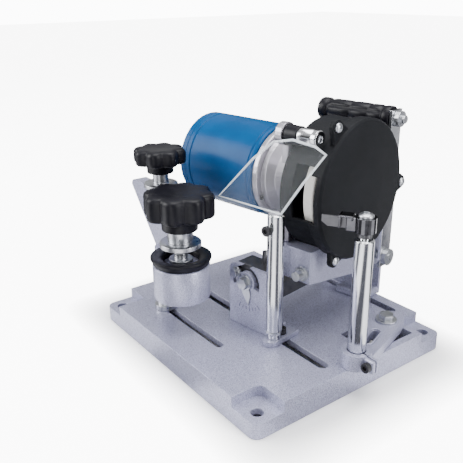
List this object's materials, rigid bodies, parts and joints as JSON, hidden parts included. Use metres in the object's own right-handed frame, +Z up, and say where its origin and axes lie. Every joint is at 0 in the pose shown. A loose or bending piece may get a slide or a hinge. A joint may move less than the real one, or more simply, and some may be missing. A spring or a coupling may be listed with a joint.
{
  "type": "bench saw blade sharpener",
  "caption": "Slotted base plate with a swinging motor head and guarded disc wheel, a blade seat with star knobs, a clear shield and a tooth stop.",
  "frame": {"origin": "middle of the base plate's footprint, on the plane it stands on", "axes": "+X along the base slots towards the wheel side, +Y away from the operator, +Z up"},
  "size_m": [0.2715, 0.2344, 0.2285],
  "materials": {
    "hammer_grey": "hammertone silver-grey paint",
    "motor_blue": "satin blue paint",
    "charcoal": "fine matt powder coat",
    "black": "moulded, satin",
    "black_steel": "black oxide",
    "chrome": "polished chrome plate",
    "zinc": "bright zinc plate",
    "alu": "satin cast",
    "clear": "clear polycarbonate sheet",
    "abrasive": "bonded grit",
    "steel_dark": "dark machined steel",
    "copper": "varnished winding over steel laminations"
  },
  "bodies": {
    "base": {"base_plate": "hammer_grey"},
    "seat": {"seat_post": "zinc", "seat_nut": "zinc"},
    "seat_arm_body": {"seat_arm": "hammer_grey", "blade_cup": "hammer_grey", "cone_ring": "black", "arbor_stud": "zinc", "lock_stud": "zinc"},
    "arbor_clamp": {"arbor_washer": "zinc", "arbor_sleeve": "zinc"},
    "arbor_knob_body": {"arbor_knob": "black"},
    "lock_clamp": {"lock_sleeve": "zinc"},
    "lock_knob_body": {"lock_knob": "black"},
    "head_carriage": {"front_bracket": "hammer_grey", "front_foot_screw": "black_steel", "rear_bracket": "hammer_grey", "rear_foot_screw": "black_steel"},
    "tilt_body": {"tilt_frame": "steel_dark", "tilt_bolt": "zinc", "tilt_lock_bolt": "zinc", "rear_tilt_bolt": "zinc"},
    "swing_head": {"swing_box": "hammer_grey", "stop_rod": "zinc", "swing_pin": "zinc", "handle_strip": "chrome", "handle_grip": "black", "handle_bolt": "zinc", "motor_body": "motor_blue", "motor_rear_cap": "motor_blue", "motor_flange": "alu", "neck": "alu", "stator": "copper", "front_bearing": "steel_dark", "rear_bearing": "steel_dark", "cable_gland": "black", "guard_back": "charcoal", "guard_cover": "charcoal", "rest_bar": "chrome"},
    "wheel_body": {"spindle": "steel_dark", "grinding_wheel": "abrasive", "wheel_nut": "zinc"},
    "rocker": {"rocker_switch": "black"},
    "post": {"post_foot": "hammer_grey", "post_foot_screw": "black_steel", "front_post": "chrome", "clear_shield": "clear", "shield_screw": "black_steel"},
    "stop_arm_body": {"stop_arm": "hammer_grey", "boss_screw": "black_steel", "stop_arm_bolt": "zinc", "clamp_plate": "zinc"},
    "stop_post_body": {"stop_post": "chrome"},
    "finger": {"finger_bracket": "zinc", "stop_finger": "steel_dark", "stop_spring": "steel_dark"}
  },
  "joints": [
    {"name": "seat_slide", "type": "slide", "parent": "base", "child": "seat", "axis": [1, 0, 0], "range_m": [-0.002, 0.05]},
    {"name": "seat_turn", "type": "hinge", "parent": "seat", "child": "seat_arm_body", "pos_m": [-0.066, -0.077, 0.0343], "axis": [0, 0, 1], "range_deg": [-20, 0]},
    {"name": "arbor_lift", "type": "slide", "parent": "seat_arm_body", "child": "arbor_clamp", "axis": [0, 0, 1], "range_m": [-0.0075, 0]},
    {"name": "arbor_turn", "type": "hinge", "parent": "arbor_clamp", "child": "arbor_knob_body", "pos_m": [-0.024, -0.083, 0.1245], "axis": [0, 0, 1], "range_deg": [-1100, 20]},
    {"name": "lock_lift", "type": "slide", "parent": "seat_arm_body", "child": "lock_clamp", "axis": [0, 0, 1], "range_m": [0, 0.004]},
    {"name": "lock_turn", "type": "hinge", "parent": "lock_clamp", "child": "lock_knob_body", "pos_m": [-0.08, -0.068, 0.1625], "axis": [0, 0, 1], "range_deg": [-20, 740]},
    {"name": "head_slide", "type": "slide", "parent": "base", "child": "head_carriage", "axis": [1, 0, 0], "range_m": [-0.02, 0.001]},
    {"name": "tilt", "type": "hinge", "parent": "head_carriage", "child": "tilt_body", "pos_m": [0.00395, 0.03163, 0.072], "axis": [-0.1564, 0.9877, 0], "range_deg": [-12, 0]},
    {"name": "swing", "type": "hinge", "parent": "tilt_body", "child": "swing_head", "pos_m": [0.03261, 0.09995, 0.076], "axis": [0.9877, 0.1564, 0], "range_deg": [-20, 3]},
    {"name": "wheel_spin", "type": "hinge", "parent": "swing_head", "child": "wheel_body", "pos_m": [0, 0.031, 0.161], "axis": [0.9877, 0.1564, 0], "continuous": true},
    {"name": "rocker_press", "type": "hinge", "parent": "swing_head", "child": "rocker", "pos_m": [-0.11388, 0.01296, 0.187], "axis": [-0.1564, 0.9877, 0], "range_deg": [-8, 0]},
    {"name": "post_slide", "type": "slide", "parent": "base", "child": "post", "axis": [1, 0, 0], "range_m": [-0.001, 0.012]},
    {"name": "stop_turn", "type": "hinge", "parent": "base", "child": "stop_arm_body", "pos_m": [0.0986, 0.064, 0.0253], "axis": [0, 0, 1], "range_deg": [0, 12]},
    {"name": "stop_lift", "type": "slide", "parent": "stop_arm_body", "child": "stop_post_body", "axis": [0, 0, 1], "range_m": [0, 0.02]},
    {"name": "finger_turn", "type": "hinge", "parent": "stop_post_body", "child": "finger", "pos_m": [0.1225, -0.0025, 0.141], "axis": [0, 0, 1], "range_deg": [0, 35]}
  ],
  "couplings": [
    {"joint": "arbor_turn", "follows": "arbor_lift", "rad_per_m": 2513.3},
    {"joint": "lock_turn", "follows": "lock_lift", "rad_per_m": 3141.6}
  ]
}
